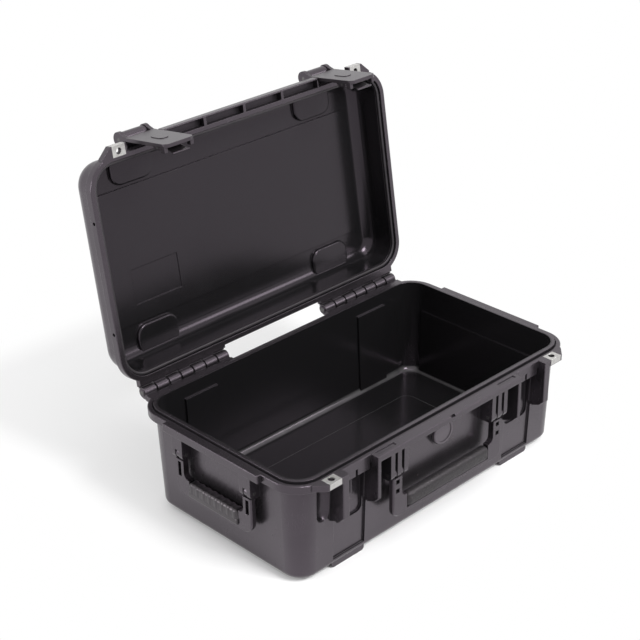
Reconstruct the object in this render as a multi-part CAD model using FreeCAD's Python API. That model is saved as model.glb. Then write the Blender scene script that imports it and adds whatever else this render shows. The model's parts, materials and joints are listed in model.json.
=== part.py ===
import FreeCAD
import Part
import math
import os

# Waterproof hard case with a hinged lid, drawn with the lid open.
# Millimetres, +Z up, the latch side faces -Y, the hinge side faces +Y.
# Lid and latches are drawn shut first and then swung to their open rest.

# Base tub
inner_length = 521.0
inner_width = 288.0
base_depth = 150.5
wall = 4.0
floor_thick = 5.0
foot_height = 5.0
draft_deg = 2.2
inner_corner = 29.0
floor_round = 10.0
bottom_round = 8.0
edge_round = 1.2
overrun = 2.0
seat_overlap = 1.0
level_band = 0.4

# Rim of the base
tongue_width = 5.8
tongue_height = 3.0
rim_groove_width = 2.0
rim_groove_depth = 2.5
flange_out = 10.0
flange_height = 12.0

# Feet
foot_end = 90.5
foot_length = 60.0
foot_width = 34.0
foot_edge_inset = 1.5
foot_chamfer = 3.0

# Pressed panels in the long walls
panel_length = 58.0
panel_depth = 3.0
panel_rim_gap = 21.0
panel_floor_gap = 18.0
end_panel_inset = 28.0
end_panel_rim_gap = 44.0
plateau_rise = 2.4
plateau_edge = 1.6
plateau_inset_x = 74.0
plateau_inset_y = 62.0
plateau_corner = 16.0

# Latch stations on the long front wall
station_end = 90.5
recess_width = 52.0
rib_outer_width = 11.0
rib_inner_width = 6.0
station_out = 26.5
sill_drop = 69.5
rib_chamfer = 6.0
rib_tail = 8.0
slot_drop = 91.5
slot_depth = 7.0
slot_round = 9.0
slot_side_gap = 1.5
scoop_radius = 12.0
pad_drop = 69.5
divider_width = 3.0
divider_out = 2.0
divider_drop = 50.5
catch_drop = 9.5
catch_gap = 3.0
catch_side_gap = 1.5

# Front shelf over the front handle
shelf_height = 9.0
shelf_groove_depth = 1.2
shelf_groove_width = 6.0
shelf_groove_length = 40.0
shelf_notch_width = 8.0

# Padlock eyes
eye_end = 40.5
eye_inset = 8.5
eye_radius = 4.5
eye_boss_half = 13.0
eye_boss_fade = 15.0
eye_boss_rise = 3.0
eye_lip = 8.5
eye_plate_half = 10.5
eye_plate_thick = 1.6
eye_plate_depth = 15.5
eye_relief = 0.8

# Front carry handle
handle_post_gap = 69.0
lug_width = 7.5
lug_pitch = 12.5
prong_clearance = 0.4
handle_pivot_drop = 44.0
handle_pivot_out = 16.5
handle_pin_radius = 2.5
lug_round = 7.5
prong_round = 6.8
handle_arm_thick = 9.0
handle_arm_gap = 9.0
handle_reach = 70.0
handle_lip = 6.0
handle_grip_height = 22.0
handle_grip_thick = 15.0
handle_core_thick = 5.0
handle_core_height = 14.0
handle_window = 6.5
handle_window_pitch = 14.0
handle_window_drop = 3.2
handle_grip_round = 5.5
handle_edge = 1.6
handle_neck_inset = 2.4
handle_web = 10.0
handle_corner_round = 12.0
handle_throat_round = 9.0

# End carry handles
side_flange_beyond = 26.0
side_flange_out = 6.5
side_post_y = 66.0
side_lug_width = 6.5
side_lug_pitch = 14.0
side_pivot_drop = 37.5
side_pivot_out = 4.0
side_arm_half = 7.8
side_reach = 64.0
side_window_height = 22.0
side_window_width = 6.0
side_grip_height = 22.0
side_corner_round = 18.0
side_rib_count = 8
side_rib_share = 0.5
side_rib_height = 1.4

# Hinge
hinge_out = 14.0
knuckle_radius = 7.5
knuckle_length = 22.0
knuckle_count = 7
knuckle_gap = 0.5
knuckle_collar = 5.0
knuckle_bevel = 1.2
hinge_relief = 2.5
hinge_relief_depth = 4.0
hinge_end = 10.5
hinge_pin_radius = 3.0
hinge_leaf_thick = 8.0

# Lid
lid_depth = 51.0
lid_roof = 4.5
lid_draft_deg = 3.0
lid_flange_height = 12.0
parting_gap = 0.6
lid_wall_out = 6.0
lid_wall_in = 1.5
lid_top_round = 24.0
lid_inner_round = 18.0
lid_open_deg = 98.5
lid_panel_side = 48.0
lid_panel_rise = 2.5
lid_panel_inset = 24.0
lid_panel_corner = 10.0
nest_clearance = 1.5
nest_depth = 5.5
nest_corner = 17.0
nest_edge = 3.0
label_length = 82.0
label_width = 51.0
label_end = 103.5
label_side = 99.0
label_depth = 1.2
cell_wall = 2.2
cell_count = 4
cell_floor = 2.2
end_hole_radius = 2.5
end_hole_side = 66.0
end_hole_depth = 5.0
end_hole_z_share = 0.4

# Gasket of the lid
rabbet_clearance = 0.8
rabbet_depth = 6.5
gasket_gap = 0.5
gasket_side_gap = 0.4

# Latches
latch_width = 49.0
latch_ear = 5.5
latch_ear_round = 10.5
latch_lug_clearance = 0.5
latch_lug_round = 9.0
latch_pivot_rise = 34.0
latch_pivot_out = 18.0
latch_pin_radius = 2.5
latch_plate_thick = 5.0
latch_plate_rise = 18.5
latch_plate_out = 23.0
latch_tip_drop = 66.5
latch_tip_block = 12.0
latch_tip_height = 11.0
latch_cheek = 3.0
latch_corner = 8.0
latch_badge_length = 26.0
latch_badge_width = 15.0
latch_badge_rise = 0.8

# Release triggers inside the latches
trigger_half = 12.0
trigger_pivot_drop = 38.0
trigger_hub_radius = 3.6
trigger_pin_radius = 1.8
trigger_hub_gap = 3.7
trigger_bar_half = 14.0
trigger_bar_height = 5.0
trigger_bar_thick = 3.0
trigger_bar_gap = 8.0
trigger_lever_thick = 3.2
nose_bottom_drop = 30.5
nose_gap = 0.8
nose_clear = 1.2
nose_lever_gap = 0.9
nose_pocket_depth = 3.4
nose_pocket_clearance = 1.5
nose_flat = 2.0

# Pressure valve
valve_drop = 31.7
valve_radius = 19.0
valve_thick = 5.5
valve_seat_out = 2.0
valve_seal_thick = 1.0
valve_seal_inner = 10.5
valve_seal_outer = 15.0
valve_stem_radius = 8.0
valve_nut_radius = 14.0
valve_nut_thick = 6.0
valve_stem_beyond = 2.5
valve_bore_radius = 4.5
valve_disc_thick = 1.0
valve_disc_gap = 2.0
valve_dish_radius = 14.5
valve_dish_depth = 0.8

# Fits
fixed_fit = 0.02
running_fit = 0.06

quarter = 90.0
X_AXIS = FreeCAD.Vector(1, 0, 0)
Y_AXIS = FreeCAD.Vector(0, 1, 0)
Z_AXIS = FreeCAD.Vector(0, 0, 1)
ORIGIN = FreeCAD.Vector(0, 0, 0)

# Sizes that follow from the driving ones
half_l = inner_length / 2
half_w = inner_width / 2
floor_z = foot_height + floor_thick
rim_z = floor_z + base_depth
flange_z1 = rim_z - tongue_height
flange_z0 = flange_z1 - flange_height
lean = math.tan(math.radians(draft_deg))
lid_lean = math.tan(math.radians(lid_draft_deg))
flange_offset = wall + flange_out
flange_y = half_w + flange_offset
flange_x = half_l + flange_offset
station_y = half_w + station_out
side_x = flange_x + side_flange_out
shelf_z0 = flange_z1 - shelf_height
lid_z0 = flange_z1 + parting_gap
lid_z1 = lid_z0 + lid_flange_height
ceiling_z = rim_z + lid_depth
lid_top = ceiling_z + lid_roof
hinge_y = flange_y + hinge_out
hinge_z = (flange_z1 + lid_z0) / 2
station_x = half_l - station_end
recess_in = station_x - recess_width / 2
recess_out = station_x + recess_width / 2
shelf_half = recess_in
sill_z = flange_z1 - sill_drop
slot_floor_z = flange_z1 - slot_drop
pad_top_z = flange_z1 - pad_drop
divider_low_z = flange_z1 - divider_drop
catch_z = flange_z0 - catch_drop
foot_centre_x = half_l - foot_end
end_panel_half = half_w - end_panel_inset
eye_x = half_l - eye_end
eye_y = station_y - eye_inset
handle_post_x = station_x - handle_post_gap
handle_y = half_w + handle_pivot_out
handle_pivot_z = flange_z1 - handle_pivot_drop
handle_bottom_z = handle_pivot_z - handle_reach
side_flange_half = side_post_y + side_flange_beyond
side_pivot_x = flange_x - side_flange_out + side_pivot_out
side_pivot_z = flange_z1 - side_pivot_drop
side_bottom_z = side_pivot_z - side_reach
hinge_group_start = half_l - hinge_end - knuckle_count * knuckle_length
lid_panel_half = half_w - lid_panel_side
label_x = label_end - half_l
label_y = half_w - label_side
end_hole_y = half_w - end_hole_side
latch_pivot_z = flange_z1 + latch_pivot_rise
latch_plate_top_z = flange_z1 + latch_plate_rise
latch_tip_z = flange_z1 - latch_tip_drop
latch_y = half_w + lid_wall_out + latch_pivot_out - lid_lean * (latch_pivot_z - lid_z0)
plate_y1 = half_w + latch_plate_out + latch_plate_thick - lid_wall_in
plate_y0 = plate_y1 - latch_plate_thick
latch_half = latch_width / 2
trigger_pivot_z = flange_z1 - trigger_pivot_drop
trigger_hub_out = plate_y0 - trigger_hub_gap
nose_bottom_z = flange_z1 - nose_bottom_drop
valve_z = flange_z1 - valve_drop


def at(x, y, z):
    return FreeCAD.Vector(x, y, z)


def block(x0, x1, y0, y1, z0, z1):
    return Part.makeBox(x1 - x0, y1 - y0, z1 - z0, at(x0, y0, z0))


def soft_block(x0, x1, y0, y1, z0, z1, radius):
    body = block(x0, x1, y0, y1, z0, z1)
    return body.makeFillet(radius, body.Edges)


def rod(start, axis, length, radius):
    return Part.makeCylinder(radius, length, start, axis)


def rod_x(x0, x1, y, z, radius):
    return rod(at(x0, y, z), X_AXIS, x1 - x0, radius)


def rod_y(y0, y1, x, z, radius):
    return rod(at(x, y0, z), Y_AXIS, y1 - y0, radius)


def rod_z(z0, z1, x, y, radius):
    return rod(at(x, y, z0), Z_AXIS, z1 - z0, radius)


def rounded_wire(half_x, half_y, radius, z):
    ix = half_x - radius
    iy = half_y - radius
    centres = [(ix, iy), (-ix, iy), (-ix, -iy), (ix, -iy)]
    arcs = []
    for turn, (cx, cy) in enumerate(centres):
        first = turn * quarter
        arcs.append(Part.makeCircle(radius, at(cx, cy, z), Z_AXIS, first, first + quarter))
    edges = []
    for turn, arc in enumerate(arcs):
        following = arcs[(turn + 1) % len(arcs)]
        edges.append(arc)
        edges.append(Part.makeLine(arc.lastVertex(True).Point, following.firstVertex(True).Point))
    return Part.Wire(edges)


def slab(half_x, half_y, radius, z0, z1):
    face = Part.Face(rounded_wire(half_x, half_y, radius, z0))
    return face.extrude(Z_AXIS * (z1 - z0))


def rim_slab(offset, z0, z1):
    return slab(half_l + offset, half_w + offset, inner_corner + offset, z0, z1)


def tub_wire(offset, z):
    inset = (rim_z - z) * lean
    grow = offset - inset
    return rounded_wire(half_l + grow, half_w + grow, inner_corner + grow, z)


def lid_wire(offset, z):
    grow = offset - (z - lid_z0) * lid_lean
    return rounded_wire(half_l + grow, half_w + grow, inner_corner + grow, z)


def skin(wires):
    return Part.makeLoft(wires, True, True)


def round_level(body, z, radius):
    edges = []
    for edge in body.Edges:
        box = edge.BoundBox
        if abs(box.ZMin - z) < level_band and abs(box.ZMax - z) < level_band:
            edges.append(edge)
    return body.makeFillet(radius, edges)


def prism_x(points, x0, x1):
    corners = [at(x0, y, z) for y, z in points]
    face = Part.Face(Part.makePolygon(corners + corners[:1]))
    return face.extrude(X_AXIS * (x1 - x0))


def prism_y(points, y0, y1):
    corners = [at(x, y0, z) for x, z in points]
    face = Part.Face(Part.makePolygon(corners + corners[:1]))
    return face.extrude(Y_AXIS * (y1 - y0))


def prism_z(points, z0, z1):
    corners = [at(x, y, z0) for x, y in points]
    face = Part.Face(Part.makePolygon(corners + corners[:1]))
    return face.extrude(Z_AXIS * (z1 - z0))


def mirrored_x(shapes):
    return shapes + [shape.mirror(ORIGIN, X_AXIS) for shape in shapes]


def mirrored_y(shapes):
    return shapes + [shape.mirror(ORIGIN, Y_AXIS) for shape in shapes]


def joined(shapes):
    return shapes[0].multiFuse(shapes[1:]).removeSplitter()


def outer_wall_y(z):
    return half_w + wall - (rim_z - z) * lean


def outer_wall_x(z):
    return half_l + wall - (rim_z - z) * lean


def turned(shape, base, axis, degrees):
    copy = shape.copy()
    copy.rotate(base, axis, degrees)
    return copy


def tub_body():
    body = skin([tub_wire(wall, foot_height), tub_wire(wall, flange_z1)])
    return round_level(body, foot_height, bottom_round)


def flange_ring():
    ring = rim_slab(flange_offset, flange_z0, flange_z1)
    return ring.makeFillet(edge_round, ring.Edges)


def feet():
    y1 = outer_wall_y(foot_height) - foot_edge_inset
    y0 = y1 - foot_width
    x0 = foot_centre_x - foot_length / 2
    x1 = foot_centre_x + foot_length / 2
    z1 = foot_height + bottom_round
    points = [(x0 + foot_chamfer, 0), (x1 - foot_chamfer, 0), (x1, foot_chamfer), (x1, z1)]
    points = points + [(x0, z1), (x0, foot_chamfer)]
    pads = mirrored_y([prism_y(points, y0, y1)])
    return mirrored_x(pads)


def rib(x0, x1):
    inside = half_w - seat_overlap
    tail_z = sill_z - rib_tail
    points = [(-inside, flange_z1), (-station_y, flange_z1), (-station_y, sill_z + rib_chamfer)]
    tail_y = -outer_wall_y(tail_z) + seat_overlap
    points = points + [(-station_y + rib_chamfer, sill_z), (tail_y, tail_z), (-inside, tail_z)]
    body = prism_x(points, x0, x1)
    fronts = [edge for edge in body.Edges if edge.BoundBox.YMax < -outer_wall_y(sill_z) - seat_overlap
              and edge.BoundBox.XMax - edge.BoundBox.XMin < overrun]
    return body.makeFillet(edge_round, fronts)


def station_blocks():
    inside = half_w - seat_overlap
    inner_rib = rib(recess_in - rib_inner_width, recess_in)
    outer_rib = rib(recess_out, recess_out + rib_outer_width)
    divider_front = -outer_wall_y(sill_z) - divider_out
    divider = block(station_x - divider_width / 2, station_x + divider_width / 2,
                    divider_front, -inside + slot_depth, divider_low_z, catch_z + overrun)
    pieces = [inner_rib, outer_rib]
    catch_ends = [(recess_in + catch_side_gap, station_x - catch_gap / 2),
                  (station_x + catch_gap / 2, recess_out - catch_side_gap)]
    catch_top = flange_z0 + flange_height / 2
    for x0, x1 in catch_ends:
        pieces.append(soft_block(x0, x1, -flange_y, -inside, catch_z, catch_top, edge_round))
    return mirrored_x(pieces), mirrored_x([divider])


def slot_tool(x0, x1, z0, z1, y0, y1):
    tall = block(x0, x1, y0, y1, z0 + slot_round, z1)
    low = block(x0 + slot_round, x1 - slot_round, y0, y1, z0, z0 + slot_round + seat_overlap)
    corners = [rod_y(y0, y1, x, z0 + slot_round, slot_round) for x in (x0 + slot_round, x1 - slot_round)]
    return joined([tall, low] + corners)


def station_slots():
    y1 = -outer_wall_y(sill_z) + slot_depth
    y0 = -station_y - overrun
    slot_x0 = recess_in + slot_side_gap
    slot_x1 = recess_out - slot_side_gap
    latch_slot = slot_tool(slot_x0, slot_x1, slot_floor_z, catch_z, y0, y1)
    scoop_x = recess_out + rib_outer_width + scoop_radius + prong_clearance
    scoop_y = y1 - scoop_radius
    scoop_z = sill_z + rib_tail
    scoop = rod_z(scoop_z, flange_z0, scoop_x, scoop_y, scoop_radius)
    cup = Part.makeSphere(scoop_radius, at(scoop_x, scoop_y, scoop_z))
    eye_slot = joined([scoop, cup])
    low = foot_height + panel_floor_gap / 2
    far = -half_w - wall - overrun
    points = [(-outer_wall_y(low) + panel_depth, low), (far, low), (far, pad_top_z),
              (-outer_wall_y(pad_top_z) + panel_depth, pad_top_z)]
    pad = prism_x(points, station_x - panel_length / 2, station_x + panel_length / 2)
    return mirrored_x([latch_slot, eye_slot, pad])


def eye_boss(z0, z1):
    x0 = eye_x - eye_boss_half
    x1 = eye_x + eye_boss_half
    inside = half_w + wall
    fade = x1 + eye_boss_fade
    points = [(x0, -inside), (x0, -station_y), (x1, -station_y)]
    points = points + [(fade, -flange_y + seat_overlap), (fade, -inside)]
    return prism_z(points, z0, z1)


def eye_recess(face_z, sign):
    x0 = eye_x - eye_plate_half
    x1 = eye_x + eye_plate_half
    y0 = -station_y
    y1 = -station_y + eye_plate_depth
    beyond = face_z + sign * overrun
    sheet_z = sorted([beyond, face_z - sign * eye_plate_thick])
    front_z = sorted([beyond, face_z - sign * eye_lip])
    sheet = block(x0, x1, y0 - overrun, y1, *sheet_z)
    front = block(x0, x1, y0 - overrun, y0 + eye_plate_thick, *front_z)
    return sheet.fuse(front)


def eye_plate(face_z, sign):
    x0 = eye_x - eye_plate_half
    x1 = eye_x + eye_plate_half
    y0 = -station_y
    y1 = -station_y + eye_plate_depth
    sheet_z = sorted([face_z, face_z - sign * eye_plate_thick])
    front_z = sorted([face_z, face_z - sign * eye_lip])
    sheet = block(x0, x1, y0, y1, *sheet_z)
    front = block(x0, x1, y0, y0 + eye_plate_thick, *front_z)
    body = joined([sheet, front])
    low = front_z[0] - overrun
    high = front_z[1] + overrun
    return body.cut(rod_z(low, high, eye_x, -eye_y, eye_radius))


def front_lugs():
    pieces = []
    inside = half_w - seat_overlap
    front = handle_y + lug_round
    for step in (-1, 0, 1):
        x0 = handle_post_x + step * lug_pitch - lug_width / 2
        x1 = x0 + lug_width
        upper = block(x0, x1, -front, -inside, handle_pivot_z, shelf_z0 + seat_overlap)
        lower = block(x0, x1, -handle_y, -inside, handle_pivot_z - lug_round, handle_pivot_z)
        nose = rod_x(x0, x1, -handle_y, handle_pivot_z, lug_round)
        pieces = pieces + [upper, lower, nose]
    return mirrored_x(pieces)


def side_lugs():
    pieces = []
    inside = half_l - seat_overlap
    front = side_pivot_x + lug_round
    for step in (-1, 1):
        y0 = side_post_y + step * side_lug_pitch / 2 - side_lug_width / 2
        y1 = y0 + side_lug_width
        upper = block(inside, front, y0, y1, side_pivot_z, flange_z0 + seat_overlap)
        lower = block(inside, side_pivot_x, y0, y1, side_pivot_z - lug_round, side_pivot_z)
        nose = rod_y(y0, y1, side_pivot_x, side_pivot_z, lug_round)
        pieces = pieces + [upper, lower, nose]
    bridge_z0 = side_pivot_z + prong_round + prong_clearance
    bridge_y0 = side_post_y - side_lug_pitch / 2
    bridge_y1 = side_post_y + side_lug_pitch / 2
    pieces.append(block(inside, front, bridge_y0, bridge_y1, bridge_z0, flange_z0 + seat_overlap))
    return mirrored_x(mirrored_y(pieces))


def knuckle_spans(first):
    spans = []
    for index in range(first, knuckle_count, 2):
        x0 = hinge_group_start + index * knuckle_length + knuckle_gap / 2
        spans.append((x0, x0 + knuckle_length - knuckle_gap))
    return spans


def knuckles(first, face_z, sign):
    pieces = []
    leaf_z = sorted([face_z, face_z - sign * hinge_leaf_thick])
    front_z = sorted([face_z, face_z - sign * hinge_relief_depth])
    root_y = flange_y - flange_out / 2
    for x0, x1 in knuckle_spans(first):
        n0 = x0 + knuckle_bevel
        n1 = x1 - knuckle_bevel
        pieces.append(rod_x(x0, x1, hinge_y, hinge_z, knuckle_collar))
        pieces.append(rod_x(n0, n1, hinge_y, hinge_z, knuckle_radius))
        pieces.append(block(n0, n1, root_y, hinge_y, *leaf_z))
    ledge_x1 = hinge_group_start + knuckle_count * knuckle_length
    ledge_y1 = hinge_y - knuckle_radius - knuckle_gap
    ledge = block(hinge_group_start, ledge_x1, root_y, ledge_y1, *leaf_z)
    groove = block(hinge_group_start, ledge_x1, ledge_y1 - hinge_relief, ledge_y1, *front_z)
    pieces.append(ledge.cut(groove))
    return mirrored_x(pieces)


def hinge_bores(radius):
    x1 = hinge_group_start + knuckle_count * knuckle_length + overrun
    return mirrored_x([rod_x(hinge_group_start - overrun, x1, hinge_y, hinge_z, radius)])


def tub_cavity():
    body = skin([tub_wire(0, floor_z), tub_wire(0, rim_z + overrun)])
    body = round_level(body, floor_z, floor_round)
    bulges = []
    top = rim_z - panel_rim_gap
    y_top = half_w - (rim_z - top) * lean - panel_depth
    y_low = half_w - (rim_z - floor_z) * lean - panel_depth
    far = half_w + overrun
    x0 = station_x - panel_length / 2
    points = [(y_low, floor_z), (far, floor_z), (far, top), (y_top, top)]
    bulges.append(prism_x(points, x0, x0 + panel_length))
    bulges = mirrored_x(mirrored_y(bulges))
    top = flange_z0
    y_top = half_w - (rim_z - top) * lean - slot_depth
    y_low = half_w - (rim_z - slot_floor_z) * lean - slot_depth
    far = half_w + overrun
    front = [(-y_low, slot_floor_z - wall), (-far, slot_floor_z - wall), (-far, top), (-y_top, top)]
    bulges = bulges + mirrored_x([prism_x(front, recess_in - wall, eye_x + scoop_radius + wall)])
    top = rim_z - end_panel_rim_gap
    x_top = half_l - (rim_z - top) * lean - panel_depth
    x_low = half_l - (rim_z - floor_z) * lean - panel_depth
    far = half_l + overrun
    points = [(x_low, floor_z), (far, floor_z), (far, top), (x_top, top)]
    bulges = bulges + mirrored_x([prism_y(points, -end_panel_half, end_panel_half)])
    plateau = slab(half_l - plateau_inset_x, half_w - plateau_inset_y, plateau_corner,
                   floor_z - overrun, floor_z + plateau_rise)
    bulges.append(round_level(plateau, floor_z + plateau_rise, plateau_edge))
    return body.cut(joined(bulges))


def back_panels():
    top = rim_z - panel_rim_gap - flange_height
    low = foot_height + panel_floor_gap
    x0 = station_x - panel_length / 2 + wall
    x1 = station_x + panel_length / 2 - wall
    far = half_w + wall + overrun
    points = [(outer_wall_y(low) - panel_depth, low), (far, low), (far, top)]
    points.append((outer_wall_y(top) - panel_depth, top))
    return mirrored_x([prism_x(points, x0, x1)])


def base_shell():
    parts = [tub_body(), flange_ring(), rim_slab(tongue_width, flange_z1 - overrun, rim_z)]
    blocks, dividers = station_blocks()
    parts = parts + feet() + blocks + mirrored_x([eye_boss(flange_z0 + eye_boss_rise, flange_z1)])
    inside = half_w + wall
    shelf = soft_block(-shelf_half, shelf_half, -station_y, -inside, shelf_z0, flange_z1, edge_round)
    side_half = side_flange_half
    side = soft_block(half_l + wall, side_x, -side_half, side_half, flange_z0, flange_z1, edge_round)
    parts = parts + [shelf] + mirrored_x([side])
    parts = parts + front_lugs() + side_lugs()
    parts = parts + knuckles(0, flange_z1, 1)
    seat_y = outer_wall_y(valve_z) + valve_seat_out
    parts.append(rod_y(-seat_y, -half_w + seat_overlap, 0, valve_z, valve_radius + seat_overlap))
    body = joined(parts)
    for tool in station_slots():
        body = body.cut(tool)
    body = joined([body] + dividers)
    cuts = [tub_cavity()]
    above = flange_z1 + overrun
    groove_z = flange_z1 - rim_groove_depth
    groove_out = rim_slab(tongue_width + rim_groove_width, groove_z, above)
    cuts.append(groove_out.cut(rim_slab(tongue_width, groove_z - overrun, above)))
    cuts = cuts + mirrored_x([eye_recess(flange_z1, 1)])
    through = rod_z(flange_z0 - overrun, flange_z1 + overrun, eye_x, -eye_y, eye_radius + eye_relief)
    cuts = cuts + mirrored_x([through]) + back_panels()
    cuts = cuts + hinge_bores(hinge_pin_radius + fixed_fit)
    cuts = cuts + front_pins(handle_pin_radius + fixed_fit, overrun)
    cuts = cuts + side_pins(handle_pin_radius + fixed_fit, overrun)
    stem_hole = valve_stem_radius + prong_clearance
    cuts.append(rod_y(-seat_y - overrun, -half_w + wall + overrun, 0, valve_z, stem_hole))
    groove_y0 = -station_y + shelf_groove_width
    groove = block(shelf_half - shelf_groove_length, shelf_half - shelf_groove_width, groove_y0,
                   groove_y0 + shelf_groove_width, flange_z1 - shelf_groove_depth, above)
    cuts = cuts + mirrored_x([groove])
    notch = shelf_groove_width / 2
    cuts.append(block(-shelf_notch_width / 2, shelf_notch_width / 2, -station_y - overrun,
                      -station_y + notch, flange_z1 - notch, above))
    for tool in cuts:
        body = body.cut(tool)
    return body.removeSplitter()


def front_pins(radius, extra):
    half = lug_pitch + lug_width / 2 + extra
    return mirrored_x([rod_x(handle_post_x - half, handle_post_x + half, -handle_y, handle_pivot_z, radius)])


def side_pins(radius, extra):
    half = side_lug_pitch / 2 + side_lug_width / 2 + extra
    pins = [rod_y(side_post_y - half, side_post_y + half, side_pivot_x, side_pivot_z, radius)]
    return mirrored_x(mirrored_y(pins))


def corner_edges(body, x, z):
    edges = []
    for edge in body.Edges:
        spot = edge.CenterOfMass
        if abs(abs(spot.x) - x) < level_band and abs(spot.z - z) < level_band:
            edges.append(edge)
    return edges


def yoke(half, arm, low, high, grip_height, corner):
    outer = half + arm
    inner = half - arm
    shelf = low + handle_lip
    top = shelf + grip_height
    throat = inner - handle_web
    side = [(outer, low), (outer, high), (inner, high), (inner, top), (throat, top), (throat, shelf)]
    points = side + [(-x, z) for x, z in reversed(side)]
    body = prism_y(points, -handle_arm_thick / 2, handle_arm_thick / 2)
    body = body.makeFillet(corner, corner_edges(body, outer, low))
    body = body.makeFillet(handle_throat_round, corner_edges(body, inner, top))
    rims = []
    for edge in body.Edges:
        spot = edge.CenterOfMass
        outside = abs(spot.x) > half + level_band or spot.z < low + level_band
        if outside and edge.BoundBox.YLength < level_band:
            rims.append(edge)
    body = body.makeChamfer(handle_edge, rims)
    core_half = handle_core_thick / 2
    core = block(-half, half, -core_half, core_half, shelf - overrun, shelf + handle_core_height)
    return joined([body, core])


def grip_bar(half, half_t, z0, z1):
    body = block(-half, half, -half_t, half_t, z0, z1)
    longs = [edge for edge in body.Edges if edge.BoundBox.XLength > half]
    body = body.makeFillet(handle_grip_round, longs)
    ends = [edge for edge in body.Edges if edge.BoundBox.XLength < level_band]
    return body.makeChamfer((handle_grip_thick - handle_arm_thick) / 2, ends)


def front_arm_half():
    return lug_pitch - lug_width / 2 - prong_clearance


def front_handle_frame():
    arm_half = front_arm_half()
    y0 = -handle_y - handle_arm_thick / 2
    y1 = -handle_y + handle_arm_thick / 2
    arm_top = handle_pivot_z - handle_arm_gap
    body = yoke(handle_post_x, arm_half, handle_bottom_z, arm_top, handle_grip_height, handle_corner_round)
    body.translate(at(0, -handle_y, 0))
    pieces = []
    prong_half = (lug_pitch - lug_width) / 2 - prong_clearance
    for step in (-1, 1):
        x = handle_post_x + step * lug_pitch / 2
        pieces.append(rod_x(x - prong_half, x + prong_half, -handle_y, handle_pivot_z, prong_round))
        pieces.append(block(x - prong_half, x + prong_half, y0 + handle_neck_inset, y1 - handle_neck_inset,
                            arm_top - handle_neck_inset, handle_pivot_z))
    body = joined([body] + mirrored_x(pieces))
    tools = front_pins(handle_pin_radius + running_fit, overrun)
    windows = []
    for step in (0, 1):
        z1 = arm_top - handle_window_drop - step * handle_window_pitch
        windows.append(block(handle_post_x - handle_window / 2, handle_post_x + handle_window / 2,
                             y0 - overrun, y1 + overrun, z1 - handle_window, z1))
    for tool in tools + mirrored_x(windows):
        body = body.cut(tool)
    return body


def front_handle_grip():
    half_x = handle_post_x - front_arm_half() - handle_web
    z0 = handle_bottom_z + handle_lip
    body = grip_bar(half_x, handle_grip_thick / 2, z0, z0 + handle_grip_height)
    body.translate(at(0, -handle_y, 0))
    return body.cut(front_handle_frame())


def side_placed(shape):
    copy = turned(shape, ORIGIN, Z_AXIS, quarter)
    copy.translate(at(side_pivot_x, 0, 0))
    return copy


def side_handle_frame():
    x0 = side_pivot_x - handle_arm_thick / 2
    x1 = side_pivot_x + handle_arm_thick / 2
    arm_top = side_pivot_z - handle_arm_gap
    body = yoke(side_post_y, side_arm_half, side_bottom_z, arm_top, side_grip_height, side_corner_round)
    body = side_placed(body)
    prong_half = (side_lug_pitch - side_lug_width) / 2 - prong_clearance
    prong_y0 = side_post_y - prong_half
    prong_y1 = side_post_y + prong_half
    knob = rod_y(prong_y0, prong_y1, side_pivot_x, side_pivot_z, prong_round)
    neck = block(x0 + handle_neck_inset, x1 - handle_neck_inset, prong_y0, prong_y1,
                 arm_top - handle_neck_inset, side_pivot_z)
    body = joined([body] + mirrored_y([knob, neck]))
    half = side_lug_pitch / 2 + side_lug_width / 2 + overrun
    bore = rod_y(side_post_y - half, side_post_y + half, side_pivot_x, side_pivot_z,
                 handle_pin_radius + running_fit)
    z1 = arm_top - handle_window_drop
    window = block(x0 - overrun, x1 + overrun, side_post_y - side_window_width / 2,
                   side_post_y + side_window_width / 2, z1 - side_window_height, z1)
    for tool in mirrored_y([bore, window]):
        body = body.cut(tool)
    return body


def side_handle_grip():
    half_y = side_post_y - side_arm_half - handle_web
    z0 = side_bottom_z + handle_lip
    z1 = z0 + side_grip_height
    half_t = handle_grip_thick / 2
    bar = grip_bar(half_y, half_t - side_rib_height / 2, z0, z1 - side_rib_height)
    bar.translate(at(0, -side_rib_height / 2, 0))
    pieces = [bar]
    pitch = half_y * 2 / side_rib_count
    rib_half = pitch * side_rib_share / 2
    rib_y0 = handle_grip_round - half_t
    for index in range(side_rib_count):
        x = -half_y + pitch * (index + side_rib_share)
        bump = block(x - rib_half, x + rib_half, rib_y0, half_t, z0 + handle_grip_round, z1)
        pieces.append(bump.makeChamfer(side_rib_height, bump.Edges))
    return side_placed(joined(pieces)).cut(side_handle_frame())


def lid_latch_lugs():
    half = latch_half - latch_ear - latch_lug_clearance
    x0 = station_x - half
    x1 = station_x + half
    nose = rod_x(x0, x1, -latch_y, latch_pivot_z, latch_lug_round)
    web = block(x0, x1, -latch_y, -half_w, latch_pivot_z - latch_lug_round, latch_pivot_z + latch_lug_round)
    return mirrored_x([nose, web])


def lid_cavity():
    body = skin([lid_wire(lid_wall_in, lid_z0 - overrun), lid_wire(lid_wall_in, ceiling_z)])
    body = round_level(body, ceiling_z, lid_inner_round)
    raised = slab(half_l - lid_panel_inset, lid_panel_half, lid_panel_corner,
                  ceiling_z - lid_panel_rise, ceiling_z + overrun)
    body = body.cut(raised)
    bump_z = ceiling_z - nest_depth
    bumps = nest_slabs(nest_clearance + lid_roof, bump_z, ceiling_z + overrun)
    return body.cut(joined([round_level(bump, bump_z, nest_edge) for bump in bumps]))


def nest_slabs(grow, z0, z1):
    y1 = outer_wall_y(foot_height) - foot_edge_inset
    middle = y1 - foot_width / 2
    pad = slab(foot_length / 2 + grow, foot_width / 2 + grow, nest_corner, z0, z1)
    pad.translate(at(foot_centre_x, middle, 0))
    return mirrored_x(mirrored_y([pad]))


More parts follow.
